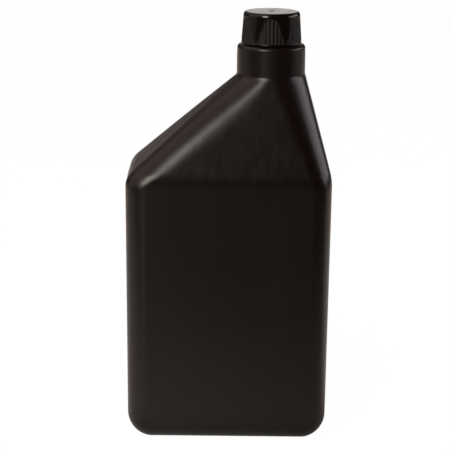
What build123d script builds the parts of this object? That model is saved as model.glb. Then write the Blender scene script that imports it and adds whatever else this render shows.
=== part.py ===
"""One-litre fluid bottle with an offset neck: blown bottle, ribbed screw cap and sealing liner.

Millimetres, +Z up. The bottle stands on Z = 0 with its body centred on X = Y = 0.
The broad front faces -Y, and the neck is offset towards +X.
"""

import math
import os

from build123d import *

# Body of the bottle
body_width = 105.0
body_depth = 67.0
belly_height = 137.8
edge_radius = 10.8
base_corner_radius = 13.3
base_lean = 1.0
wall = 1.3
floor_corner_radius = 0.5
corner_flats = 3

# Base panel, pushed up so that the bottle stands on a ring
panel_margin = 5.0
panel_corner_radius = 8.0
panel_rise = 2.0
panel_draft = 40.0

# Shoulder and collar
shoulder_height = 49.7
shoulder_bevel = 3.0
neck_offset = 21.0
collar_radius = 17.35
collar_ledge = 0.3
collar_flat = 0.2
collar_height = 16.0
collar_edge = 1.4

# Neck
neck_radius = 11.9
neck_wall = 1.9
lip_edge = 0.5

# Cap
cap_gap = 0.4
cap_height = 16.1
cap_roof = 1.5
cap_wall = 0.75
cap_draft = 1.0
cap_edge = 0.9
thread_room = 1.1

# Grip of the cap: arches of ribs between smooth tongues that hang from the top band
arch_count = 6
arch_turn = -3.0
arch_top_margin = 2.6
arch_top_width = 5.8
arch_corner_radius = 2.2
tongue_tip_width = 1.5
tongue_tip_radius = 0.6
tongue_tip_height = 1.4
rim_height = 0.9
ribs_per_arch = 8
rib_height = 0.4
rib_clearance = 0.2

# Liner
liner_thickness = 1.0
liner_clearance = 0.15

# Levels and sizes that follow from the ones above
foot_width = body_width - 2 * (base_lean + base_corner_radius)
foot_depth = body_depth - 2 * edge_radius
foot_bevel = edge_radius - wall - floor_corner_radius
wall_top = belly_height - shoulder_bevel
bevel_share = shoulder_bevel / shoulder_height
shoulder_top = belly_height + shoulder_height
collar_top = shoulder_top + collar_height
cap_foot = collar_top + cap_gap
roof_underside = cap_foot + cap_height - cap_roof
neck_top = roof_underside - liner_thickness
neck_bore_radius = neck_radius - neck_wall
cap_bore_radius = neck_radius + thread_room
cap_top_radius = cap_bore_radius + cap_wall + rib_height + rib_clearance
cap_foot_radius = cap_top_radius + cap_draft
arch_pitch = 360.0 / arch_count
rib_pitch = arch_pitch / ribs_per_arch

os.makedirs("parts", exist_ok=True)


def neck_plane(height):
    """Level plane on the axis of the neck."""
    return Plane(origin=(neck_offset, 0, height))


neck_axis = Axis((neck_offset, 0, 0), (0, 0, 1))
neck_front = Plane(origin=(neck_offset, 0, 0), x_dir=(1, 0, 0), z_dir=(0, -1, 0))


def level_face(height, width, depth, corner, shift=0):
    """Level oblong face with rounded corners, its middle shifted along X."""
    with BuildSketch(Plane(origin=(shift, 0, height)), mode=Mode.PRIVATE) as level:
        RectangleRounded(width, depth, corner)
    return level.sketch.face()


def flat_cut_face(height, width, depth, corner, shift=0):
    """The same face with each rounded corner cut as a few flats, for surfaces that nobody sees."""
    points = []
    for quarter, (side_x, side_y) in enumerate(((1, 1), (-1, 1), (-1, -1), (1, -1))):
        for step in range(corner_flats + 1):
            turn = math.radians(90 * (quarter + step / corner_flats))
            x = side_x * (width / 2 - corner) + corner * math.cos(turn)
            y = side_y * (depth / 2 - corner) + corner * math.sin(turn)
            points.append((x, y))
    with BuildSketch(Plane(origin=(shift, 0, height)), mode=Mode.PRIVATE) as level:
        Polygon(*points, align=None)
    return level.sketch.face()


def shoulder_face(make_face_at, share, inset):
    """Level face a share of the way up the shoulder, from the oblong body to the nearly round collar."""
    seat = collar_radius + collar_ledge
    return make_face_at(
        belly_height + share * shoulder_height,
        (1 - share) * body_width + share * 2 * seat - 2 * inset,
        (1 - share) * body_depth + share * 2 * seat - 2 * inset,
        (1 - share) * edge_radius + share * (seat - collar_flat) - inset,
        share * neck_offset,
    )


def stacked(levels):
    """Solid through level faces: flat panels between straight edges, ruled surfaces between arcs."""
    sides = []
    for below, above in zip(levels, levels[1:]):
        for low in below.outer_wire().edges():
            high = min(above.outer_wire().edges(), key=lambda edge: (edge % 0.5 - low % 0.5).length)
            if low.geom_type == GeomType.LINE:
                sides.append(Face(Wire.make_polygon([low @ 0, low @ 1, high @ 1, high @ 0])))
            else:
                sides.append(Face.make_surface_from_curves(low, high))
    return Solid(Shell([levels[0], *sides, levels[-1]]))


# Hollow of the bottle, from the base to the mouth
with BuildPart() as hollow:
    hollow_width = body_width - 2 * wall
    hollow_depth = body_depth - 2 * wall
    hollow_corner = edge_radius - wall
    floor_width = hollow_width - 2 * (base_lean + foot_bevel)
    floor_face = flat_cut_face(wall, floor_width, hollow_depth - 2 * foot_bevel, floor_corner_radius)
    foot_face = flat_cut_face(wall + foot_bevel, hollow_width - 2 * base_lean, hollow_depth, hollow_corner)
    top_face = flat_cut_face(wall_top, hollow_width, hollow_depth, hollow_corner)
    bevel_face = shoulder_face(flat_cut_face, bevel_share, wall)
    seat_face = shoulder_face(flat_cut_face, 1, wall)
    add(stacked([floor_face, foot_face, top_face, bevel_face, seat_face]))
    with BuildSketch(Plane.XY.offset(wall)):
        RectangleRounded(
            foot_width - 2 * (panel_margin - wall),
            foot_depth - 2 * (panel_margin - wall),
            panel_corner_radius + wall,
        )
    extrude(amount=panel_rise, mode=Mode.SUBTRACT)
    with BuildSketch(neck_front):
        with BuildLine():
            Polyline(
                (0, shoulder_top),
                (collar_radius - wall, shoulder_top),
                (collar_radius - wall, collar_top - wall),
                (neck_bore_radius, collar_top - wall),
                (neck_bore_radius, neck_top),
                (0, neck_top),
                close=True,
            )
        make_face()
    revolve(axis=neck_axis)

# Bottle: one blown piece, hollow all the way up
with BuildPart() as bottle:
    # Body: front outline with leaning sides, pushed to full depth, then rounded front and back
    with BuildSketch(Plane.XZ.offset(-body_depth / 2)):
        with BuildLine():
            Polyline(
                (-body_width / 2, wall_top),
                (body_width / 2, wall_top),
                (body_width / 2 - base_lean, 0),
                (base_lean - body_width / 2, 0),
                close=True,
            )
        outline = make_face()
        fillet(outline.vertices().sort_by(Axis.Y)[:2], base_corner_radius)
    extrude(amount=body_depth)
    front_edges = bottle.faces().sort_by(Axis.Y)[0].edges().sort_by(Axis.Z)[:-1]
    back_edges = bottle.faces().sort_by(Axis.Y)[-1].edges().sort_by(Axis.Z)[:-1]
    fillet(front_edges + back_edges, edge_radius)

    # Shoulder: a bevel, then flat panels and cone corners up to the round collar
    body_top = bottle.faces().sort_by(Axis.Z)[-1]
    bevel_top = shoulder_face(level_face, bevel_share, 0)
    collar_seat = shoulder_face(level_face, 1, 0)
    add(stacked([body_top, bevel_top, collar_seat]))

    # Base panel
    with BuildSketch(Plane.XY):
        RectangleRounded(foot_width - 2 * panel_margin, foot_depth - 2 * panel_margin, panel_corner_radius)
    extrude(amount=panel_rise, taper=panel_draft, mode=Mode.SUBTRACT)

    # Collar and neck, turned on the axis of the neck
    with BuildSketch(neck_front):
        with BuildLine():
            Polyline(
                (0, shoulder_top),
                (collar_radius, shoulder_top),
                (collar_radius, collar_top - collar_edge),
                (collar_radius - collar_edge, collar_top),
                (neck_radius, collar_top),
                (neck_radius, neck_top - lip_edge),
                (neck_radius - lip_edge, neck_top),
                (0, neck_top),
                close=True,
            )
        make_face()
    revolve(axis=neck_axis)
    add(hollow.part, mode=Mode.SUBTRACT)
bottle.part.label = "bottle"
export_step(bottle.part, "parts/bottle.step")

# Ribbed cone that shows in the arches, with a crest at every rib pitch
with BuildPart() as ribbed_cone:
    for level, skirt_radius in ((0, cap_foot_radius), (cap_height, cap_top_radius)):
        shrink = skirt_radius / cap_foot_radius
        crest_radius = shrink * (cap_foot_radius - rib_clearance)
        root_radius = shrink * (cap_foot_radius - rib_clearance - rib_height)
        root_x = root_radius * math.sin(math.radians(rib_pitch / 2))
        root_y = root_radius * math.cos(math.radians(rib_pitch / 2))
        with BuildSketch(Plane.XY.offset(level)):
            with PolarLocations(0, arch_count * ribs_per_arch, rib_pitch / 2):
                Polygon((0, 0), (-root_x, -root_y), (0, -crest_radius), (root_x, -root_y), align=None)
    loft(ruled=True)

# What one arch takes out of the skirt: its outline pushed in as far as the ribbed cone
with BuildPart() as arch:
    sector_half = cap_foot_radius * math.sin(math.radians(arch_pitch / 2))
    tip_half = sector_half - tongue_tip_width / 2
    arch_top = cap_height - arch_top_margin
    with BuildSketch(Plane.XZ):
        with BuildLine():
            Polyline(
                (sector_half, rim_height),
                (sector_half, tongue_tip_height),
                (tip_half, tongue_tip_height),
                (arch_top_width / 2, arch_top),
                (-arch_top_width / 2, arch_top),
                (-tip_half, tongue_tip_height),
                (-sector_half, tongue_tip_height),
                (-sector_half, rim_height),
                close=True,
            )
        outline = make_face()
        rows = outline.vertices().group_by(Axis.Y)
        fillet(rows[-1], arch_corner_radius)
        fillet(rows[1].sort_by(Axis.X)[1:3], tongue_tip_radius)
    extrude(amount=2 * cap_foot_radius)
    add(ribbed_cone.part, mode=Mode.SUBTRACT)

# Cap: a drafted cup with a bevelled top edge and a ring of ribbed arches
with BuildPart(neck_plane(cap_foot)) as cap:
    Cone(cap_foot_radius, cap_top_radius, cap_height, align=(Align.CENTER, Align.CENTER, Align.MIN))
    chamfer(cap.faces().sort_by(Axis.Z)[-1].edges(), cap_edge)
    with PolarLocations(0, arch_count, arch_turn):
        add(arch.part, mode=Mode.SUBTRACT)
    with BuildSketch(neck_plane(cap_foot)):
        Circle(cap_bore_radius)
    extrude(amount=cap_height - cap_roof, mode=Mode.SUBTRACT)
cap.part.label = "cap"
export_step(cap.part, "parts/cap.step")

# Liner: the sealing disc between the roof of the cap and the lip of the neck
with BuildPart() as liner:
    with BuildSketch(neck_plane(neck_top)):
        Circle(cap_bore_radius - liner_clearance)
    extrude(amount=liner_thickness)
liner.part.label = "liner"
export_step(liner.part, "parts/liner.step")
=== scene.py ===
"""Looks of a black fluid bottle: blown satin bottle, glossy ribbed screw cap and foam liner.

Every piece is a closed surface worked out on a grid of rings, in metres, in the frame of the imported
model. The studio is white to the camera and a graded glow in reflections.
"""

import logging
import math
from dataclasses import dataclass, field, fields
from enum import Enum
from functools import reduce
from typing import Any

import bpy
import numpy as np
from mathutils import Matrix, Vector


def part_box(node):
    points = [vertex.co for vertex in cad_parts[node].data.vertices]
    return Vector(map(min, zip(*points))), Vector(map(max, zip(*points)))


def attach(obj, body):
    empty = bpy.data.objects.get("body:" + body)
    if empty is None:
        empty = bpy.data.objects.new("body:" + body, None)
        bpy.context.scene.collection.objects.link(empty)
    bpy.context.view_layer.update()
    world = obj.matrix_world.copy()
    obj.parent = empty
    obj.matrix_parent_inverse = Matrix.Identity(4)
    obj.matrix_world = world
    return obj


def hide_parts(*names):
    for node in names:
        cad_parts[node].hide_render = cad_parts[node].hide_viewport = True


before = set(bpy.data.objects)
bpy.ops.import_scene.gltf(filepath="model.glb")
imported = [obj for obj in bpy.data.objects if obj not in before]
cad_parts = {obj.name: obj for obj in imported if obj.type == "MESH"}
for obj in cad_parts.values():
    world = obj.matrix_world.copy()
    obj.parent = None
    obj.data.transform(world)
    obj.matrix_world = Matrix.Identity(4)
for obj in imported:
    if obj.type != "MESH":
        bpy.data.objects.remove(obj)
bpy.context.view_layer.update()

# A ramp is a range of values and what it gives at the two ends of that range
Pair = tuple[float, float]
Ramp = tuple[Pair, Pair]
Triple = tuple[float, float, float]
Colour = tuple[float, float, float, float]

MM = 0.001
TOUCH = 0.01 * MM
GRIP_ATTRIBUTE = "grip"
WHITE: Colour = (1.0, 1.0, 1.0, 1.0)
PLAIN_RAYS = ("Is Camera Ray", "Is Transmission Ray")

# Most of a noise lies in this range
NOISE_MIDDLE: Pair = (0.35, 0.65)

# A straight run starts this many radii from its corner, just past the rounded end before it
PAST_ROUND = 1.2
PAST_NECK_ROUND = 1.1

log = logging.getLogger("fluid_bottle")


class Body(Enum):
    """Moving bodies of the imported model."""

    BOTTLE = "bottle"
    CAP = "cap"
    LINER = "liner"


class Slot(Enum):
    """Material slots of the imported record."""

    BOTTLE = "bottle_plastic"
    CAP = "cap_plastic"
    LINER = "liner_foam"


def smooth_step(value: np.ndarray, start: float, end: float) -> np.ndarray:
    """Rises from 0 at start to 1 at end as 3u^2 - 2u^3.

    Args:
        value: Where to evaluate it.
        start: Value with the result 0.
        end: Value with the result 1.

    Returns:
        The eased share at each value.
    """
    share = np.clip((value - start) / (end - start), 0.0, 1.0)
    return share * share * (3.0 - 2.0 * share)


def straight(start: Pair, end: Pair, count: int) -> np.ndarray:
    """Evenly spaced points from start up to, but not including, end.

    Args:
        start: First point, as radius and height.
        end: Point that the next stretch begins with.
        count: Number of points.

    Returns:
        Points as rows of radius and height.
    """
    return np.linspace(start, end, count, endpoint=False)


def bend(centre: Pair, radius: float, turn: Pair, count: int) -> np.ndarray:
    """Points on a circular arc: centre plus radius times (cos, sin) of an evenly rising angle.

    Args:
        centre: Middle of the arc, as radius and height.
        radius: Radius of the arc.
        turn: First and last angle in degrees.
        count: Number of points, both ends included.

    Returns:
        Points as rows of radius and height.
    """
    angle = np.radians(np.linspace(turn[0], turn[1], count))
    return np.array(centre) + radius * np.stack([np.cos(angle), np.sin(angle)], axis=1)


def full_turn(count: int) -> np.ndarray:
    """Even angles round an axis, from 0 up to, but not including, a full turn."""
    return np.arange(count) * math.tau / count


def closed_surface(name: str, rings: np.ndarray) -> bpy.types.Object:
    """Joins rings of points into one closed mesh, with quads between rings and a fan at each pole.

    Rings run anticlockwise seen from above and follow the skin from a pole that looks down to one
    that looks up, so that every face points out of the material. The first and last ring shrink to
    their mean point.

    Args:
        name: Name of the piece.
        rings: Points as an array of ring, place round the ring, and coordinate.

    Returns:
        The object, at the origin and smoothly shaded.
    """
    count, around, _ = rings.shape
    skin = rings[1:-1].reshape(-1, 3)
    poles = rings[[0, -1]].mean(axis=1)
    index = np.arange(len(skin)).reshape(count - 2, around)
    after = np.roll(index, -1, axis=1)
    quads = np.stack([index[:-1], after[:-1], after[1:], index[1:]], axis=-1).reshape(-1, 4)
    lower = np.stack([np.full(around, len(skin)), after[0], index[0]], axis=-1)
    upper = np.stack([np.full(around, len(skin) + 1), index[-1], after[-1]], axis=-1)
    faces = quads.tolist() + lower.tolist() + upper.tolist()
    mesh = bpy.data.meshes.new(name)
    mesh.from_pydata(np.concatenate([skin, poles]).tolist(), [], faces)
    mesh.validate()
    mesh.shade_smooth()
    piece = bpy.data.objects.new(name, mesh)
    bpy.context.scene.collection.objects.link(piece)
    return piece


def turned_rings(
    radius: np.ndarray, height: np.ndarray, angle: np.ndarray, axis_x: float
) -> np.ndarray:
    """Carries a profile round an upright axis: (axis + r cos, r sin, z).

    Args:
        radius: Radius, as a column with one row a ring, or one value a ring and angle.
        height: Height, in the same way.
        angle: Angles round the axis.
        axis_x: X of the axis.

    Returns:
        Points as an array of ring, place round the ring, and coordinate.
    """
    x = axis_x + radius * np.cos(angle)
    return np.stack([x, radius * np.sin(angle), np.broadcast_to(height, x.shape)], axis=-1)


@dataclass(frozen=True)
class HelixThread:
    """A right-handed ridge that winds up an upright axis by one pitch a turn.

    The ridge is where the height is near start + pitch * (angle / 360 + k) for a whole k. It rises
    by a smooth step of the distance from that line, and both of its ends fade out.
    """

    start: float
    pitch: float
    turns: float
    crest: float
    half_foot: float
    half_crest: float
    fade_turns: float = 0.07

    def rise(self, angle: np.ndarray, height: np.ndarray) -> np.ndarray:
        """How far the ridge stands up at each point.

        Args:
            angle: Angles round the axis, from 0 to a full turn.
            height: Heights, which broadcast against the angles.

        Returns:
            Ridge height at each point.
        """
        part_turn = angle / math.tau
        climbed = (height - self.start) / self.pitch - part_turn
        lap = np.round(climbed)
        off_line = np.abs(climbed - lap) * self.pitch
        wound = part_turn + lap
        ends = smooth_step(wound, 0.0, self.fade_turns)
        ends = ends * smooth_step(self.turns - wound, 0.0, self.fade_turns)
        return self.crest * ends * (1.0 - smooth_step(off_line, self.half_crest, self.half_foot))


@dataclass
class Sections:
    """Level sections of the bottle, one a ring: oblongs with rounded corners, given as arrays.

    Each section runs in nine stretches from the middle of its +X side: half a side, then corner and
    side in turn. Its points are centre + side * (half - corner) + corner * (cos, sin) of the turn.
    The corners on the -X side are superellipses, with both cos and sin raised to a power of at most
    1, so that they run out more gently.
    """

    height: np.ndarray
    centre: np.ndarray
    half_x: np.ndarray
    half_y: np.ndarray
    corner_left: np.ndarray
    corner_right: np.ndarray
    corner_y: np.ndarray
    left_power: np.ndarray

    SIDE_X = np.array([1.0, 1, 1, -1, -1, -1, -1, 1, 1, 1])
    SIDE_Y = np.array([0.0, 1, 1, 1, 1, -1, -1, -1, -1, 0])
    TURN = np.radians([0.0, 0, 90, 90, 180, 180, 270, 270, 360, 360])
    SIDE_WEIGHT = 0.35

    @classmethod
    def oblongs(cls, height: Any, half_x: Any, half_y: Any, corner: Any, centre: Any) -> "Sections":
        """Sections with four equal round corners, with each size one number or one a ring."""
        sizes = np.broadcast_arrays(height, centre, half_x, half_y, corner, corner, corner, 1.0)
        return cls(*sizes)

    @classmethod
    def joined(cls, parts: list["Sections"]) -> "Sections":
        """One run of sections from several."""
        runs = ([getattr(part, item.name) for part in parts] for item in fields(cls))
        return cls(*map(np.concatenate, runs))

    def flipped(self) -> "Sections":
        """The same sections in the other order."""
        return Sections(*(getattr(self, item.name)[::-1] for item in fields(self)))

    def rings(self, share: np.ndarray) -> np.ndarray:
        """Points of every section, spread so that corners get more of them than sides.

        Args:
            share: Shares of the way round, from 0 up to 1.

        Returns:
            Points as an array of ring, place round the ring, and coordinate.
        """
        flat_left, flat_right = self.half_x - self.corner_left, self.half_x - self.corner_right
        flat_y = self.half_y - self.corner_y
        arc_left = (self.corner_left + self.corner_y) * math.pi / 4
        arc_right = (self.corner_right + self.corner_y) * math.pi / 4
        side_x = self.SIDE_WEIGHT * (flat_left + flat_right)
        side_y = 2 * self.SIDE_WEIGHT * flat_y
        back = [side_y / 2, arc_right, side_x, arc_left]
        lengths = [np.zeros_like(side_x), *back, side_y, *back[::-1]]
        ends = np.cumsum(np.stack(lengths, axis=1), axis=1)
        ticks = np.arange(ends.shape[1])
        place = np.stack([np.interp(share, row / row[-1], ticks) for row in ends])
        turn = np.interp(place, ticks, self.TURN)
        to_right = np.interp(place, ticks, self.SIDE_X) / 2 + 0.5
        to_back = np.interp(place, ticks, self.SIDE_Y)
        cos, sin = np.cos(turn), np.sin(turn)
        power = np.where(cos > 0, 1.0, self.left_power[:, None])
        corner_x = np.where(cos > 0, self.corner_right[:, None], self.corner_left[:, None])
        x = self.centre[:, None] + to_right * flat_right[:, None]
        x = x - (1.0 - to_right) * flat_left[:, None]
        x = x + corner_x * np.sign(cos) * np.abs(cos) ** power
        y = to_back * flat_y[:, None]
        y = y + self.corner_y[:, None] * np.sign(sin) * np.abs(sin) ** power
        return np.stack([x, y, np.broadcast_to(self.height[:, None], x.shape)], axis=-1)


@dataclass(frozen=True)
class Noise:
    """A noise: features a metre, octaves of finer noise, and a scale along each axis."""

    scale: float
    detail: float
    stretch: Triple | None = None


class NodeSheet:
    """A node tree and short ways to add and link its nodes."""

    MIX_INPUTS = (0, 6, 7)
    MIX_COLOUR = 2
    RANGE_INPUTS = ("Value", "From Min", "From Max", "To Min", "To Max")

    def __init__(self, tree: bpy.types.NodeTree, coordinates: str) -> None:
        """Takes a tree and the coordinates that its textures are read in."""
        self.tree = tree
        self.place = self.add("ShaderNodeTexCoord").outputs[coordinates]

    def add(
        self, kind: str, inputs: dict[str | int, Any] | None = None, **settings: Any
    ) -> bpy.types.Node:
        """Adds a node.

        Args:
            kind: Blender's name for the node type.
            inputs: Values or sockets for the node's inputs, by name or number.
            **settings: Properties of the node.

        Returns:
            The new node.
        """
        node = self.tree.nodes.new(kind)
        for name, value in settings.items():
            setattr(node, name, value)
        self.feed(node, inputs or {})
        return node

    def feed(self, node: bpy.types.Node, inputs: dict[str | int, Any]) -> None:
        """Links sockets to a node's inputs, or sets their values.

        Args:
            node: Node that is fed.
            inputs: Sockets or plain values, by name or number of the input.
        """
        for name, value in inputs.items():
            if isinstance(value, bpy.types.NodeSocket):
                self.tree.links.new(value, node.inputs[name])
            else:
                node.inputs[name].default_value = value

    def noise(self, noise: Noise) -> Any:
        """Adds a noise.

        Args:
            noise: Its scale, detail and stretch.

        Returns:
            Socket with a value from 0 to 1.
        """
        source = self.place
        if noise.stretch:
            mapping = self.add("ShaderNodeMapping", {"Vector": source, "Scale": noise.stretch})
            source = mapping.outputs["Vector"]
        inputs = {"Vector": source, "Scale": noise.scale, "Detail": noise.detail}
        return self.add("ShaderNodeTexNoise", inputs).outputs[0]

    def cells(self, scale: float) -> Any:
        """Outputs of a texture with so many cells a metre."""
        return self.add("ShaderNodeTexVoronoi", {"Vector": self.place, "Scale": scale}).outputs

    def remap(self, value: Any, source: Pair, target: Pair) -> Any:
        """Socket that maps one range to another, level past both ends."""
        inputs = dict(zip(self.RANGE_INPUTS, (value, *source, *target)))
        return self.add("ShaderNodeMapRange", inputs).outputs["Result"]

    def math(self, operation: str, first: Any, second: Any) -> Any:
        """Socket with the result of one sum on two values or sockets."""
        return self.add("ShaderNodeMath", {0: first, 1: second}, operation=operation).outputs[0]

    def fold(self, operation: str, *values: Any) -> Any:
        """Socket with several values or sockets joined by one operation."""
        return reduce(lambda first, second: self.math(operation, first, second), values)

    def total(self, *terms: Any) -> Any:
        """Socket with the sum of several values or sockets."""
        return self.fold("ADD", *terms)

    def product(self, *factors: Any) -> Any:
        """Socket with the product of several values or sockets."""
        return self.fold("MULTIPLY", *factors)

    def highest(self, *values: Any) -> Any:
        """Socket with the highest of several values or sockets."""
        return self.fold("MAXIMUM", *values)

    def weighted(self, first: Any, second: Any, share: float) -> Any:
        """Socket with the weighted mean of two values, by the share of the first."""
        return self.total(self.product(first, share), self.product(second, 1.0 - share))

    def ramps(self, *steps: tuple[Any, Ramp]) -> Any:
        """Socket with the product of ramps, each read at its own socket."""
        return self.product(*(self.remap(value, *ramp) for value, ramp in steps))

    def blend(self, share: Any, first: Any, second: Any) -> Any:
        """Socket with a colour between two, by a share from 0 to 1."""
        inputs = dict(zip(self.MIX_INPUTS, (share, first, second)))
        return self.add("ShaderNodeMix", inputs, data_type="RGBA").outputs[self.MIX_COLOUR]

    def bump(self, height: Any, relief: Pair, **under: Any) -> Any:
        """Normal socket of a relief, as depth in metres and strength, on another if given."""
        inputs = {"Height": height, "Distance": relief[0], "Strength": relief[1], **under}
        return self.add("ShaderNodeBump", inputs).outputs["Normal"]

    def axes(self) -> tuple[Any, Any, Any]:
        """Sockets with X, Y and Z of the coordinates."""
        return tuple(self.add("ShaderNodeSeparateXYZ", {0: self.place}).outputs)

    def rays(self, *kinds: str) -> Any:
        """Socket that is 1 on rays of any of these kinds, in the words of Light Path."""
        path = self.add("ShaderNodeLightPath").outputs
        return self.highest(*(path[kind] for kind in kinds))


class MaterialSheet(NodeSheet):
    """A material with a principled shader, read in object coordinates."""

    def __init__(self, name: str) -> None:
        """Makes the material."""
        self.material = bpy.data.materials.new(name)
        self.material.use_nodes = True
        super().__init__(self.material.node_tree, "Object")
        self.shader = self.tree.nodes["Principled BSDF"]

    def dress(self, piece: bpy.types.Object) -> None:
        """Gives the material to a piece."""
        piece.data.materials.append(self.material)


class WorldSheet(NodeSheet):
    """The surroundings, read by the direction that a ray leaves in."""

    def __init__(self, name: str) -> None:
        """Makes the world and sets it in the scene."""
        world = bpy.data.worlds.new(name)
        bpy.context.scene.world = world
        world.use_nodes = True
        super().__init__(world.node_tree, "Generated")
        self.background = self.tree.nodes["Background"]


@dataclass(frozen=True)
class SatinPolyethylene:
    """Blown black polyethylene: satin, grained, slightly wavy, with die lines and some dust."""

    dark: Colour = (0.0030, 0.0010, 0.0007, 1.0)
    light: Colour = (0.0040, 0.0016, 0.0011, 1.0)
    dust: Colour = (0.016, 0.014, 0.013, 1.0)
    gloss_range: Pair = (0.255, 0.32)
    specular: float = 0.5
    cloud: Noise = Noise(28.0, 3.0)
    cloud_share: float = 0.6
    tint_ramp: Ramp = ((0.7, 1.3), (0.0, 1.0))
    waves: Noise = Noise(34.0, 1.0)
    wave_relief: Pair = (0.2 * MM, 1.0)
    lines: Noise = Noise(330.0, 1.0, (1.0, 1.0, 0.02))
    line_relief: Pair = (0.05 * MM, 0.5)
    grain: Noise = Noise(2600.0, 2.0)
    grain_relief: Pair = (0.03 * MM, 0.45)
    speck_scale: float = 150.0
    speck_edge: Ramp = ((0.04, 0.07), (1.0, 0.0))
    speck_choice: Ramp = ((0.90, 0.92), (0.0, 0.8))

    def sheet(self) -> MaterialSheet:
        """Builds the material.

        Returns:
            Its node sheet.
        """
        sheet = MaterialSheet("satin_polyethylene")
        cloud, lines = sheet.noise(self.cloud), sheet.noise(self.lines)
        tint = sheet.remap(sheet.total(cloud, lines), *self.tint_ramp)
        plain = sheet.blend(tint, self.dark, self.light)
        specks = sheet.cells(self.speck_scale)
        chosen = sheet.add("ShaderNodeSeparateColor", {0: specks["Color"]}).outputs[0]
        dusty = sheet.ramps((specks["Distance"], self.speck_edge), (chosen, self.speck_choice))
        worn = sheet.weighted(cloud, lines, self.cloud_share)
        relief = sheet.bump(sheet.noise(self.waves), self.wave_relief)
        relief = sheet.bump(lines, self.line_relief, Normal=relief)
        relief = sheet.bump(sheet.noise(self.grain), self.grain_relief, Normal=relief)
        inputs = {
            "Base Color": sheet.blend(dusty, plain, self.dust),
            "Roughness": sheet.remap(worn, NOISE_MIDDLE, self.gloss_range),
            "Specular IOR Level": self.specular,
            "Normal": relief,
        }
        sheet.feed(sheet.shader, inputs)
        return sheet


@dataclass(frozen=True)
class GlossPolypropylene:
    """Moulded black polypropylene: glossy with a faint haze and fine rubs, duller on the ribs, and
    painted shade: a darker colour inside the ribbed arches.
    """

    dark: Colour = (0.0028, 0.0015, 0.0013, 1.0)
    light: Colour = (0.0036, 0.0022, 0.0019, 1.0)
    # Painted shade: the darker colour given to the recessed ribbed arches
    grip: Colour = (0.0014, 0.0008, 0.0005, 1.0)
    gloss_range: Pair = (0.09, 0.15)
    grip_roughness: float = 0.54
    haze: Noise = Noise(160.0, 3.0)
    haze_share: float = 0.6
    rubs: Noise = Noise(1500.0, 2.0, (1.0, 1.0, 0.15))
    rub_relief: Pair = (0.02 * MM, 0.3)

    def sheet(self) -> MaterialSheet:
        """Builds the material.

        Returns:
            Its node sheet.
        """
        sheet = MaterialSheet("gloss_polypropylene")
        haze, rubs = sheet.noise(self.haze), sheet.noise(self.rubs)
        ribbed = sheet.add("ShaderNodeAttribute", attribute_name=GRIP_ATTRIBUTE).outputs["Fac"]
        smooth = sheet.blend(haze, self.dark, self.light)
        mixed = sheet.weighted(haze, rubs, self.haze_share)
        sheen = sheet.remap(mixed, NOISE_MIDDLE, self.gloss_range)
        duller = sheet.product(ribbed, self.grip_roughness - self.gloss_range[0])
        inputs = {
            # The ribbed arches get the darker colour, painted shade of the recess
            "Base Color": sheet.blend(ribbed, smooth, self.grip),
            "Roughness": sheet.total(sheen, duller),
            "Normal": sheet.bump(rubs, self.rub_relief),
        }
        sheet.feed(sheet.shader, inputs)
        return sheet


@dataclass(frozen=True)
class LinerFoam:
    """White foamed polyethylene with small closed cells."""

    pale: Colour = (0.80, 0.80, 0.77, 1.0)
    shaded: Colour = (0.70, 0.70, 0.67, 1.0)
    roughness: float = 0.6
    cell_scale: float = 2200.0
    cell_relief: Pair = (0.06 * MM, 0.5)

    def sheet(self) -> MaterialSheet:
        """Builds the material.

        Returns:
            Its node sheet.
        """
        sheet = MaterialSheet("liner_foam")
        cells = sheet.cells(self.cell_scale)["Distance"]
        inputs = {
            "Base Color": sheet.blend(cells, self.shaded, self.pale),
            "Roughness": self.roughness,
            "Normal": sheet.bump(cells, self.cell_relief),
        }
        sheet.feed(sheet.shader, inputs)
        return sheet


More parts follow.
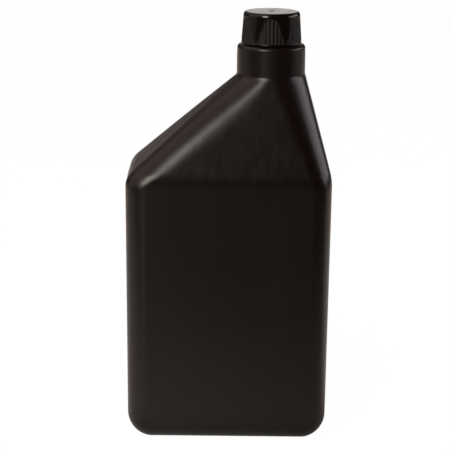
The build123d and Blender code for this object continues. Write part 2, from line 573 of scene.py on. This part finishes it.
@dataclass
class BlownBottle:
    """The blown bottle: oblong body, shoulder of panels and cone corners, collar, threaded neck.

    Its skin runs from the middle of the base up the outside, over the lip and down the inside.
    """

    belly_height: float = 137.8 * MM
    shoulder_height: float = 49.7 * MM
    break_reach: float = 4.0 * MM
    left_blend: float = 12.0 * MM
    right_blend: float = 1.0 * MM
    left_easing: float = 0.3
    blend_room: float = 0.8
    edge_radius: float = 10.8 * MM
    base_corner_radius: float = 13.3 * MM
    base_lean: float = 1.0 * MM
    wall: float = 1.3 * MM
    panel_margin: float = 5.0 * MM
    panel_rise: float = 2.0 * MM
    panel_run: float = 2.4 * MM
    panel_corner: float = 8.0 * MM
    panel_core: float = 0.04
    collar_radius: float = 17.35 * MM
    collar_ledge: float = 0.3 * MM
    collar_blend: float = 1.6 * MM
    collar_height: float = 16.0 * MM
    collar_round: float = 1.9 * MM
    neck_radius: float = 11.9 * MM
    neck_wall: float = 1.9 * MM
    neck_round: float = 0.6 * MM
    lip_round: float = 0.6 * MM
    seam_height: float = 0.12 * MM
    seam_width: float = 0.45 * MM
    seam_foot: Pair = (0.3 * MM, 6.0 * MM)
    seam_end: Pair = (2.0 * MM, 5.0 * MM)
    pinch_height: float = 0.35 * MM
    thread: HelixThread = HelixThread(
        start=207.2 * MM,
        pitch=4.0 * MM,
        turns=1.75,
        crest=0.8 * MM,
        half_foot=1.0 * MM,
        half_crest=0.3 * MM,
    )
    around: int = 240
    seam_steps: Triple = (0.0008, 0.0018, 0.0032)
    seam_rings: int = 20
    panel_rows: tuple[int, int, int] = (14, 12, 6)
    outer_rows: tuple[int, int, int, int] = (22, 26, 20, 40)
    inner_rows: tuple[int, int, int, int] = (12, 10, 8, 14)
    half_width: float = field(init=False)
    half_depth: float = field(init=False)
    neck_top: float = field(init=False)
    neck_offset: float = field(init=False)

    def __post_init__(self) -> None:
        """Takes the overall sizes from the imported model."""
        low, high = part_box("bottle")
        cap_low, cap_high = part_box("cap")
        self.half_width = (high[0] - low[0]) / 2 - self.seam_height
        self.half_depth = (high[1] - low[1]) / 2
        self.neck_top = high[2]
        self.neck_offset = (cap_low[0] + cap_high[0]) / 2

    @property
    def shoulder_top(self) -> float:
        """Height where the collar starts."""
        return self.belly_height + self.shoulder_height

    @property
    def collar_top(self) -> float:
        """Height of the ledge under the cap."""
        return self.shoulder_top + self.collar_height

    def shares(self) -> np.ndarray:
        """Places round each ring: even, with extra ones beside the seams on the +X and -X sides.

        Returns:
            Rising shares of the way round.
        """
        even = np.arange(self.around) / self.around
        steps = np.array(self.seam_steps)
        seam = np.concatenate([-steps, steps])
        return np.unique(np.concatenate([even, seam % 1.0, 0.5 + seam]))

    def climb(self, height: np.ndarray) -> np.ndarray:
        """Share of the way up the shoulder: 0 below, a parabola over the break, then straight.

        Args:
            height: Heights of the sections.

        Returns:
            The share at each height.
        """
        above = height - self.belly_height
        reach = self.break_reach
        curve = (np.clip(above, -reach, reach) + reach) ** 2 / (4 * reach)
        return (curve + np.maximum(above - reach, 0.0)) / self.shoulder_height

    def wall_sections(self, height: np.ndarray, inset: float) -> Sections:
        """Sections of body and shoulder.

        Body: the half width leans in towards the foot, and both halves lose
        r - sqrt(r^2 - (r - h)^2) over the rounded foot, while the corners shrink in step. Shoulder:
        every size goes straight to the collar's radius. Its corners also grow along X by a blend
        times sqrt(4s (1 - s)), where s is the share of the way up. On the left the growth keeps to
        a share of the room beside the corner, and the power of the superellipse falls with it.

        Args:
            height: Heights of the sections.
            inset: How far inside the outer skin they lie.

        Returns:
            The sections.
        """
        up = height - inset
        round_x, round_y = self.base_corner_radius - inset, self.edge_radius - inset
        left_x, left_y = np.clip(round_x - up, 0, round_x), np.clip(round_y - up, 0, round_y)
        cut_x = round_x - np.sqrt(round_x**2 - left_x**2)
        cut_y = round_y - np.sqrt(round_y**2 - left_y**2)
        lean = self.base_lean * np.clip(1.0 - height / self.belly_height, 0.0, 1.0)
        share = self.climb(height)
        seat = self.collar_radius + self.collar_ledge - inset

        def rising(size: np.ndarray) -> np.ndarray:
            """Goes from a size on the body to the collar's radius."""
            return (1.0 - share) * size + share * seat

        arched = np.sqrt(np.clip(4.0 * share * (1.0 - share), 0.0, 1.0))
        corner_x = rising(round_y * (1.0 - cut_x / round_x))
        half_x = rising(self.half_width - inset - lean - cut_x)
        blend = np.minimum(self.left_blend * arched, self.blend_room * (half_x - corner_x))
        return Sections(
            height,
            share * self.neck_offset,
            half_x,
            rising(self.half_depth - inset - cut_y),
            corner_x + blend,
            corner_x + self.right_blend * arched,
            rising(round_y * (1.0 - cut_y / round_y)),
            1.0 - self.left_easing * blend / self.left_blend,
        )

    def base_sections(self, inset: float) -> Sections:
        """Sections from the pole of the pushed-up panel out to the foot of the wall.

        The panel is level, its side falls by a smooth step, and the stand ring is level again.

        Args:
            inset: How far inside the outer skin they lie.

        Returns:
            The sections.
        """
        foot = np.array([self.half_width - self.base_lean, self.half_depth])
        foot -= (self.base_corner_radius, self.edge_radius)
        top = foot - self.panel_margin - self.panel_run + inset
        rim = top + self.panel_run
        corner = self.panel_corner
        flat = np.linspace(self.panel_core, 1.0, self.panel_rows[0])
        slope = np.linspace(0.0, 1.0, self.panel_rows[1])[1:]
        ring = np.linspace(0.0, 1.0, self.panel_rows[2])[1:-1]
        fall = 1.0 - smooth_step(slope, 0.0, 1.0)
        panel = flat[:, None] * top
        side = top + slope[:, None] * self.panel_run
        stand = rim + ring[:, None] * (foot - rim)
        parts = [
            Sections.oblongs(inset + self.panel_rise, *panel.T, flat * corner, 0.0),
            Sections.oblongs(inset + self.panel_rise * fall, *side.T, corner, 0.0),
            Sections.oblongs(inset, *stand.T, (1.0 - ring) * corner, 0.0),
        ]
        return Sections.joined(parts)

    def wall_heights(self, inset: float, rows: tuple[int, int, int, int]) -> np.ndarray:
        """Heights of the rings from the foot to the collar, closest where the foot turns in.

        Args:
            inset: How far inside the outer skin they lie.
            rows: Number of rings on the rounded foot, the wall, the break and the shoulder.

        Returns:
            Rising heights.
        """
        foot = self.base_corner_radius - inset
        turn = np.linspace(0.0, math.pi / 2, rows[0], endpoint=False)
        low, high = self.belly_height - self.break_reach, self.belly_height + self.break_reach
        runs = [
            inset + foot * (1.0 - np.cos(turn)),
            np.linspace(inset + foot, low, rows[1], endpoint=False),
            np.linspace(low, high, rows[2], endpoint=False),
            np.linspace(high, self.shoulder_top, rows[3]),
        ]
        return np.concatenate(runs)

    def neck_profile(self) -> np.ndarray:
        """Profile from the foot of the collar over the lip and down to the inside of the shoulder.

        The foot of the collar eases in by a parabola, ledge * (1 - u)^2. The rest is straight runs
        and quarter circles.

        Returns:
            Rows of radius and height.
        """
        collar, neck, top = self.collar_radius, self.neck_radius, self.neck_top
        bore = neck - self.neck_wall
        ledge, soft, lip = self.collar_top, self.neck_round, self.lip_round
        inner, ceiling = collar - self.wall, ledge - self.wall
        start, end = self.shoulder_top + self.collar_blend, ledge - self.collar_round
        shelf = collar - self.collar_round
        eased = np.linspace(0.0, 1.0, 9)[1:-1]
        eased_radius = collar + self.collar_ledge * (1.0 - eased) ** 2
        runs = [
            np.stack([eased_radius, self.shoulder_top + self.collar_blend * eased], axis=1),
            straight((collar, start), (collar, end), 14),
            bend((shelf, end), self.collar_round, (0, 90), 14),
            straight((shelf, ledge), (neck + soft, ledge), 5)[1:],
            bend((neck + soft, ledge + soft), soft, (270, 180), 7),
            straight((neck, ledge + PAST_NECK_ROUND * soft), (neck, top - lip), 72),
            bend((neck - lip, top - lip), lip, (0, 90), 8),
            bend((bore + lip, top - lip), lip, (90, 180), 8),
            straight((bore, top - PAST_ROUND * lip), (bore, ceiling + soft), 8),
            bend((bore + soft, ceiling + soft), soft, (180, 270), 6),
            straight((bore + PAST_ROUND * soft, ceiling), (inner - soft, ceiling), 4)[1:],
            bend((inner - soft, ceiling - soft), soft, (90, 0), 6),
            straight((inner, ceiling - PAST_ROUND * soft), (inner, self.shoulder_top), 6),
        ]
        return np.concatenate(runs)

    def relief(self, rings: np.ndarray, outer: int) -> np.ndarray:
        """Adds the seam of the mould halves, the pinch-off across the base panel, and the thread.

        Seam: the skin moves along X by a bell curve of Y, from above the foot to below the collar's
        edge. Pinch-off: the panel drops by a bell curve of Y. Thread: the skin of the neck moves
        out from its axis by the height of the ridge.

        Args:
            rings: Points of the skin.
            outer: Number of rings on the outside of base, body and shoulder.

        Returns:
            The moved points.
        """
        x, y, z = np.moveaxis(rings, -1, 0)
        ring = np.arange(len(rings))[:, None]
        bell = np.exp(-((y / self.seam_width) ** 2))
        on_wall = smooth_step(z, *self.seam_foot)
        on_wall = on_wall * smooth_step(self.collar_top - z, *self.seam_end)
        middle = x.mean(axis=1, keepdims=True)
        proud = np.sign(x - middle) * self.seam_height * bell * on_wall
        x = x + np.where(ring < outer + self.seam_rings, proud, 0.0)
        on_panel = (ring < outer) & (np.abs(z - self.panel_rise) < TOUCH)
        z = z - np.where(on_panel, self.pinch_height * bell, 0.0)
        out_x = x - self.neck_offset
        reach = np.hypot(out_x, y)
        angle = np.arctan2(y, out_x) % math.tau
        on_neck = np.abs(reach - self.neck_radius) < TOUCH
        grown = 1.0 + np.where(on_neck, self.thread.rise(angle, z), 0.0) / np.maximum(reach, MM)
        return np.stack([self.neck_offset + out_x * grown, y * grown, z], axis=-1)

    def build(self) -> bpy.types.Object:
        """Makes the piece, dresses it and sets it on its body.

        Returns:
            The bottle's object.
        """
        outer_heights = self.wall_heights(0.0, self.outer_rows)
        inner_heights = self.wall_heights(self.wall, self.inner_rows)[::-1]
        radius, height = self.neck_profile().T
        outside = [self.base_sections(0.0), self.wall_sections(outer_heights, 0.0)]
        neck = Sections.oblongs(height, radius, radius, radius, self.neck_offset)
        inside = [
            self.wall_sections(inner_heights, self.wall),
            self.base_sections(self.wall).flipped(),
        ]
        sections = Sections.joined([*outside, neck, *inside])
        outer = sum(len(part.height) for part in outside)
        rings = self.relief(sections.rings(self.shares()), outer)
        piece = closed_surface("bottle_shell", rings)
        SatinPolyethylene().sheet().dress(piece)
        return settle(piece, Body.BOTTLE)


@dataclass
class ScrewCap:
    """The screw cap: a drafted cup whose skirt has ribbed arches between smooth tongues.

    Its skin runs from the middle of the roof's underside down the bore, round the foot, up the
    skirt and over the top.
    """

    foot_radius: float = 15.35 * MM
    top_radius: float = 14.35 * MM
    bore_radius: float = 13.0 * MM
    bore_round: float = 0.4 * MM
    roof: float = 1.5 * MM
    edge_width: float = 1.4 * MM
    edge_drop: float = 2.3 * MM
    foot_round: float = 0.25 * MM
    arch_count: int = 6
    ribs_per_arch: int = 8
    arch_turn: float = math.radians(-93.0)
    arch_top_margin: float = 2.6 * MM
    arch_top_half: float = 2.9 * MM
    arch_corner: float = 2.2 * MM
    tip_width: float = 1.5 * MM
    tip_height: float = 1.4 * MM
    rim_height: float = 0.9 * MM
    rib_depth: float = 0.28 * MM
    crest_drop: float = 0.2 * MM
    edge_blur: float = 0.16 * MM
    gate_radius: float = 1.1 * MM
    gate_flat: float = 0.6
    gate_depth: float = 0.25 * MM
    thread: HelixThread = HelixThread(
        start=205.2 * MM,
        pitch=4.0 * MM,
        turns=1.75,
        crest=0.75 * MM,
        half_foot=0.75 * MM,
        half_crest=0.2 * MM,
    )
    around: int = 432
    skirt_levels: Pair = (2.2 * MM, 11.0 * MM)
    skirt_rows: tuple[int, int, int] = (16, 34, 24)
    edge_turn: Pair = (4.0, 90.0)
    edge_rows: int = 16
    top_rows: int = 18
    foot: float = field(init=False)
    top: float = field(init=False)
    axis_x: float = field(init=False)

    def __post_init__(self) -> None:
        """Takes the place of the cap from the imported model."""
        low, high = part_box("cap")
        self.foot, self.top = low[2], high[2]
        self.axis_x = (low[0] + high[0]) / 2

    def arch_depth(self, angle: np.ndarray, up: np.ndarray) -> np.ndarray:
        """Signed distance into the arches and the band under the tongues, positive inside.

        An arch is bounded by two slanted sides and a level top, with the corners between them
        rounded. The band joins all arches between the rim and the tips of the tongues.

        Args:
            angle: Angles round the axis.
            up: Heights above the foot, as a column.

        Returns:
            The distance at each point.
        """
        pitch = math.tau / self.arch_count
        turn = (angle - self.arch_turn + pitch / 2) % pitch - pitch / 2
        across = np.abs(self.foot_radius * np.sin(turn))
        arch_top = self.top - self.foot - self.arch_top_margin
        tip_half = self.foot_radius * math.sin(pitch / 2) - self.tip_width / 2
        slant = (tip_half - self.arch_top_half) / (arch_top - self.tip_height)
        side = (tip_half - slant * (up - self.tip_height) - across) / math.hypot(1.0, slant)
        short_side = np.maximum(self.arch_corner - side, 0)
        short_roof = np.maximum(self.arch_corner - (arch_top - up), 0)
        over_rim = up - self.rim_height
        arch = np.minimum(self.arch_corner - np.hypot(short_side, short_roof), over_rim)
        return np.maximum(arch, np.minimum(over_rim, self.tip_height - up))

    def grip(self, angle: np.ndarray, height: np.ndarray) -> np.ndarray:
        """Share of the ribbed recess: 1 inside the arches, 0 on the tongues and the top band."""
        depth = self.arch_depth(angle, height - self.foot)
        return smooth_step(depth, -self.edge_blur, self.edge_blur)

    def skirt_radius(self, angle: np.ndarray, height: np.ndarray) -> np.ndarray:
        """Radius of the skirt: the drafted cone, less the recess inside the arches.

        The recess is a drop to the crests plus the depth of the ribs times (1 + cos) / 2 of an
        angle that turns once a rib.

        Args:
            angle: Angles round the axis.
            height: Heights, as a column.

        Returns:
            Radius at each point.
        """
        up, draft = height - self.foot, self.top_radius - self.foot_radius
        cone = self.foot_radius + draft * up / (self.top - self.foot)
        rib_turn = self.arch_count * self.ribs_per_arch * (angle - self.arch_turn)
        ribs = 0.5 + 0.5 * np.cos(rib_turn)
        return cone - self.grip(angle, height) * (self.crest_drop + self.rib_depth * ribs)

    def inner_profile(self) -> np.ndarray:
        """Profile of the inside: roof, bore and the underside of the foot, with round corners.

        Returns:
            Rows of radius and height.
        """
        ceiling, soft = self.top - self.roof, self.bore_round
        bore, foot = self.bore_radius, self.foot
        rim = self.foot_radius - self.foot_round
        runs = [
            straight((0.0, ceiling), (bore - soft, ceiling), 10),
            bend((bore - soft, ceiling - soft), soft, (90, 0), 6),
            straight((bore, ceiling - PAST_ROUND * soft), (bore, foot + soft), 60),
            bend((bore + soft, foot + soft), soft, (180, 270), 6),
            straight((bore + PAST_ROUND * soft, foot), (rim, foot), 4),
        ]
        return np.concatenate(runs)

    def outer_profile(self) -> tuple[np.ndarray, np.ndarray]:
        """Outside of the cap in two runs.

        The top edge is a quarter of an ellipse, and the top is level with a smooth dimple at its
        gate.

        Returns:
            Heights of the skirt's rings, and rows of radius and height over the top edge to the
            middle.
        """
        skirt_end = self.top - self.edge_drop
        low, high = (self.foot + level for level in self.skirt_levels)
        runs = [
            np.linspace(self.foot + self.foot_round, low, self.skirt_rows[0], endpoint=False),
            np.linspace(low, high, self.skirt_rows[1], endpoint=False),
            np.linspace(high, skirt_end, self.skirt_rows[2]),
        ]
        end_radius = self.skirt_radius(np.zeros(1), np.array([[skirt_end]]))[0, 0]
        flat_radius = end_radius - self.edge_width
        quarter = bend((0.0, 0.0), 1.0, self.edge_turn, self.edge_rows)
        edge = quarter * (self.edge_width, self.edge_drop) + (flat_radius, skirt_end)
        inward = np.linspace(flat_radius, 0.0, self.top_rows)[1:]
        dimple = 1.0 - smooth_step(inward, self.gate_flat * self.gate_radius, self.gate_radius)
        top = np.stack([inward, self.top - self.gate_depth * dimple], axis=1)
        return np.concatenate(runs), np.concatenate([edge, top])

    def build(self) -> bpy.types.Object:
        """Makes the piece, dresses it and sets it on its body.

        Returns:
            The cap's object.
        """
        angle = full_turn(self.around)
        inner = self.inner_profile()
        inner_radius, inner_height = inner[:, :1], inner[:, 1:]
        on_bore = np.abs(inner_radius - self.bore_radius) < TOUCH
        inner_radius = inner_radius - np.where(on_bore, self.thread.rise(angle, inner_height), 0.0)
        skirt_height, over = self.outer_profile()
        skirt_height = skirt_height[:, None]
        skirt = self.skirt_radius(angle, skirt_height)
        soft = self.foot_round
        foot_turn = bend((0.0, self.foot + soft), soft, (-90, 0), 5)[:-1]
        foot_radius = skirt[:1] - soft + foot_turn[:, :1]
        over_radius = np.broadcast_to(over[:, :1], (len(over), self.around))
        radius = np.concatenate([inner_radius, foot_radius, skirt, over_radius])
        height = np.concatenate([inner_height, foot_turn[:, 1:], skirt_height, over[:, 1:]])
        piece = closed_surface("cap_shell", turned_rings(radius, height, angle, self.axis_x))
        share = np.zeros(radius.shape)
        first = len(inner_radius) + len(foot_radius)
        # The grip share also sets the painted shade of the ribbed arches in the cap's material
        share[first : first + len(skirt)] = self.grip(angle, skirt_height)
        values = np.concatenate([share[1:-1].ravel(), [0.0, 0.0]]).astype(np.float32)
        attribute = piece.data.attributes.new(GRIP_ATTRIBUTE, "FLOAT", "POINT")
        attribute.data.foreach_set("value", values)
        GlossPolypropylene().sheet().dress(piece)
        return settle(piece, Body.CAP)


@dataclass
class SealingLiner:
    """The foam disc in the roof of the cap, with the ring that the lip has pressed into it."""

    edge_round: float = 0.2 * MM
    press_radius: float = 10.9 * MM
    press_half: float = 1.3 * MM
    press_flat: float = 0.7
    press_depth: float = 0.12 * MM
    around: int = 160
    face_rows: tuple[int, int] = (60, 14)
    lower_turn: Pair = (-70.0, 0.0)

    def build(self) -> bpy.types.Object:
        """Makes the piece, dresses it and sets it on its body.

        The disc is turned from a profile with round edges. Its underside rises by a smooth step of
        the distance from the middle of the pressed ring.

        Returns:
            The liner's object.
        """
        low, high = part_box("liner")
        soft = self.edge_round
        rim = (high[0] - low[0]) / 2 - soft
        out = np.linspace(0.0, rim, self.face_rows[0])
        back = np.linspace(rim, 0.0, self.face_rows[1])[1:]
        off_ring = np.abs(out - self.press_radius)
        pressed = 1.0 - smooth_step(off_ring, self.press_flat * self.press_half, self.press_half)
        runs = [
            np.stack([out, low[2] + self.press_depth * pressed], axis=1),
            bend((rim, low[2] + soft), soft, self.lower_turn, 5),
            bend((rim, high[2] - soft), soft, (0, 90), 6),
            np.stack([back, np.full_like(back, high[2])], axis=1),
        ]
        profile = np.concatenate(runs)
        axis_x = (low[0] + high[0]) / 2
        rings = turned_rings(profile[:, :1], profile[:, 1:], full_turn(self.around), axis_x)
        piece = closed_surface("liner_disc", rings)
        LinerFoam().sheet().dress(piece)
        return settle(piece, Body.LINER)


def settle(piece: bpy.types.Object, body: Body) -> bpy.types.Object:
    """Sets a finished piece on its body, in the place of the plain node of the same name.

    Args:
        piece: The finished piece.
        body: Body that it moves with, which is also the node that it stands for.

    Returns:
        The same piece.
    """
    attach(piece, body.value)
    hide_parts(body.value)
    return piece


@dataclass(frozen=True)
class SoftBox:
    """A rectangular studio lamp that points at the bottle."""

    name: str
    bearing: float
    elevation: float
    distance: float
    size: Pair
    power: float
    colour: Triple = (1.0, 0.97, 0.93)
    mirrored: bool = True

    def light(self, target: Vector) -> bpy.types.Object:
        """Makes the lamp.

        Args:
            target: Point that it looks at.

        Returns:
            The lamp's object.
        """
        bearing, elevation = math.radians(self.bearing), math.radians(self.elevation)
        level = math.cos(elevation)
        level_x, level_y = level * math.sin(bearing), -level * math.cos(bearing)
        away = Vector((level_x, level_y, math.sin(elevation)))
        data = bpy.data.lights.new(self.name, "AREA")
        data.shape = "RECTANGLE"
        data.size, data.size_y = self.size
        data.energy = self.power
        data.color = self.colour
        lamp = bpy.data.objects.new(self.name, data)
        lamp.location = target + self.distance * away
        lamp.rotation_euler = (-away).to_track_quat("-Z", "Y").to_euler()
        lamp.visible_camera = False
        lamp.visible_glossy = self.mirrored
        bpy.context.scene.collection.objects.link(lamp)
        return lamp


@dataclass(frozen=True)
class FloorGlow:
    """What the floor shows in reflections, by the place on it in metres, with painted light and
    shadow.

    In front it brightens towards the bottle and to the left, a painted pool of light, a lit path of
    painted light runs off to the front left along x = slope * y, and a painted contact shadow dims it
    where the bottle stands. Beside and behind the bottle it is bright, and far to the sides it falls
    off.
    """

    tint: Colour = (1.0, 0.86, 0.76, 1.0)
    front_rise: Ramp = ((-0.32, -0.09), (0.11, 0.39))
    front_tilt: Ramp = ((-0.09, 0.04), (1.85, 0.9))
    right_fall: Ramp = ((0.10, 0.50), (1.0, 0.3))
    path_slope: float = 0.445
    path_edge: Ramp = ((0.05, 0.32), (1.0, 0.0))
    path_fall: Ramp = ((-0.5, -0.2), (0.52, 0.06))
    path_end: Ramp = ((-0.2, -0.1), (1.0, 0.0))
    # Ramps of the painted contact shadow where the bottle stands
    contact_rise: Ramp = ((-0.07, -0.02), (0.0, 0.45))
    contact_shadow_edge: Ramp = ((0.05, 0.075), (1.0, 0.0))
    beside_rise: Ramp = ((-0.10, 0.04), (0.0, 0.76))
    beside_edge: Ramp = ((0.045, 0.10), (0.0, 1.0))
    side_fall: Ramp = ((0.25, 1.0), (1.0, 0.35))

    def level(self, sheet: NodeSheet) -> Any:
        """Works out the strength of the glow.

        Args:
            sheet: Sheet of the floor's material.

        Returns:
            Socket with the strength.
        """
        x, y, _ = sheet.axes()
        aside = sheet.math("ABSOLUTE", x, 0.0)
        off_path = sheet.math("SUBTRACT", sheet.math("DIVIDE", x, y), self.path_slope)
        off_path = sheet.math("ABSOLUTE", off_path, 0.0)
        # Painted pool of light in front, brighter towards the bottle and to the left
        front = sheet.ramps((y, self.front_rise), (x, self.front_tilt), (x, self.right_fall))
        # Painted streak of light: the lit path off to the front left
        path = sheet.ramps((off_path, self.path_edge), (y, self.path_fall), (y, self.path_end))
        # Painted contact shadow: the glow dims where the bottle stands
        contact_shadow = sheet.ramps((y, self.contact_rise), (aside, self.contact_shadow_edge))
        unshadowed = sheet.math("SUBTRACT", 1.0, contact_shadow)
        front = sheet.product(sheet.total(front, path), unshadowed)
        beside = sheet.ramps((y, self.beside_rise), (aside, self.beside_edge))
        return sheet.product(sheet.highest(front, beside), sheet.remap(aside, *self.side_fall))


@dataclass(frozen=True)
class BackdropGlow:
    """What the surroundings show in reflections, by the direction that a ray leaves in.

    The left is bright, more so higher up, the far right is bright, and the front right is dark.
    """

    tint: Colour = (1.0, 0.82, 0.79, 1.0)
    least: float = 0.032
    high: Ramp = ((0.10, 0.65), (0.0, 1.0))
    low_left: Ramp = ((-0.94, -0.88), (0.38, 0.0))
    high_left: Ramp = ((-0.60, -0.28), (0.58, 0.0))
    left_fall: Ramp = ((0.35, 0.62), (1.0, 0.2))
    high_middle: Ramp = ((-0.35, 0.2), (0.16, 0.0))
    right: Ramp = ((0.95, 0.995), (0.0, 0.62))
    behind: Ramp = ((0.75, 0.97), (0.0, 0.10))

    def level(self, sheet: NodeSheet) -> Any:
        """Works out the strength of the glow.

        Args:
            sheet: Sheet of the world.

        Returns:
            Socket with the strength.
        """
        x, y, z = sheet.axes()
        high_left = sheet.ramps((x, self.high_left), (z, self.high))
        left = sheet.total(sheet.remap(x, *self.low_left), high_left)
        return sheet.total(
            self.least,
            sheet.product(left, sheet.remap(y, *self.left_fall)),
            sheet.remap(x, *self.right),
            sheet.remap(y, *self.behind),
            sheet.ramps((z, self.high), (x, self.high_middle)),
        )


@dataclass
class Studio:
    """White sweep, soft lamps and the camera, set as the bottle was photographed."""

    target: Vector = field(default_factory=lambda: Vector((-1.67 * MM, 0.0, 107.85 * MM)))
    distance: float = 0.89
    elevation: float = math.radians(14.15)
    roll: float = math.radians(0.59)
    lens: float = 136.1
    sensor: float = 36.0
    sweep_half: float = 6.0
    sweep_colour: Colour = (0.9, 0.9, 0.9, 1.0)
    sweep_roughness: float = 0.9
    sweep_white: float = 1.03
    shadow_share: float = 0.05
    floor_glow: FloorGlow = FloorGlow()
    backdrop_glow: BackdropGlow = BackdropGlow()
    lamps: tuple[SoftBox, ...] = (
        SoftBox("key_front_left", -28.5, 31.0, 1.3, (0.44, 0.64), 6.7, (1.0, 0.92, 0.83)),
        SoftBox("side_right", 101.0, 20.0, 1.2, (1.1, 0.40), 2.6, (1.0, 0.94, 0.97)),
        SoftBox("back_card", 180.0, 8.4, 1.6, (0.36, 0.26), 0.22),
        SoftBox("fill_above", 0.0, 55.0, 1.6, (1.6, 1.2), 17.0, mirrored=False),
    )

    def build(self) -> None:
        """Makes the sweep, the world, the lamps and the camera."""
        self.sweep()
        self.world()
        for lamp in self.lamps:
            lamp.light(self.target)
        self.camera()
        bpy.context.scene.view_settings.view_transform = "Standard"

    def sweep(self) -> None:
        """A floor that is white to the camera, glows with painted light and shadow in reflections and
        keeps a faint shadow.
        """
        half = self.sweep_half
        corners = [(-half, -half, 0), (half, -half, 0), (half, half, 0), (-half, half, 0)]
        mesh = bpy.data.meshes.new("floor")
        mesh.from_pydata(corners, [], [(0, 1, 2, 3)])
        floor = bpy.data.objects.new("floor", mesh)
        bpy.context.scene.collection.objects.link(floor)
        sheet = MaterialSheet("white_sweep")
        finish = {"Base Color": self.sweep_colour, "Roughness": self.sweep_roughness}
        sheet.feed(sheet.shader, {**finish, "Specular IOR Level": 0.0})
        plain = sheet.rays(*PLAIN_RAYS)
        white = sheet.product(plain, self.sweep_white)
        inputs = {
            "Color": sheet.blend(plain, self.floor_glow.tint, WHITE),
            "Strength": sheet.highest(self.floor_glow.level(sheet), white),
        }
        glow = sheet.add("ShaderNodeEmission", inputs)
        share = sheet.product(sheet.rays(*PLAIN_RAYS, "Is Glossy Ray"), 1.0 - self.shadow_share)
        inputs = {0: share, 1: sheet.shader.outputs[0], 2: glow.outputs[0]}
        both = sheet.add("ShaderNodeMixShader", inputs)
        sheet.feed(sheet.tree.nodes["Material Output"], {"Surface": both.outputs[0]})
        sheet.dress(floor)

    def world(self) -> None:
        """Surroundings that are white to the camera and a graded glow in reflections."""
        sheet = WorldSheet("studio")
        plain = sheet.rays(*PLAIN_RAYS)
        inputs = {
            "Color": sheet.blend(plain, self.backdrop_glow.tint, WHITE),
            "Strength": sheet.highest(self.backdrop_glow.level(sheet), plain),
        }
        sheet.feed(sheet.background, inputs)

    def camera(self) -> None:
        """A long lens in front of the bottle and a little above it, rolled by part of a degree."""
        back = Vector((0.0, -math.cos(self.elevation), math.sin(self.elevation)))
        right = Vector((1.0, 0.0, 0.0))
        up = back.cross(right)
        rolled_right = math.cos(self.roll) * right + math.sin(self.roll) * up
        rolled_up = back.cross(rolled_right)
        data = bpy.data.cameras.new("camera")
        data.lens, data.sensor_width = self.lens, self.sensor
        camera = bpy.data.objects.new("camera", data)
        place = Matrix((rolled_right, rolled_up, back)).transposed().to_4x4()
        place.translation = self.target + self.distance * back
        camera.matrix_world = place
        bpy.context.scene.collection.objects.link(camera)
        bpy.context.scene.camera = camera


def main() -> None:
    """Builds every piece, then the studio, and reports each piece."""
    logging.basicConfig(level=logging.INFO, format="%(name)s: %(message)s")
    for maker in (BlownBottle(), SealingLiner(), ScrewCap()):
        piece = maker.build()
        log.info("%s: %d faces", piece.name, len(piece.data.polygons))
    Studio().build()


if __name__ == "__main__":
    main()
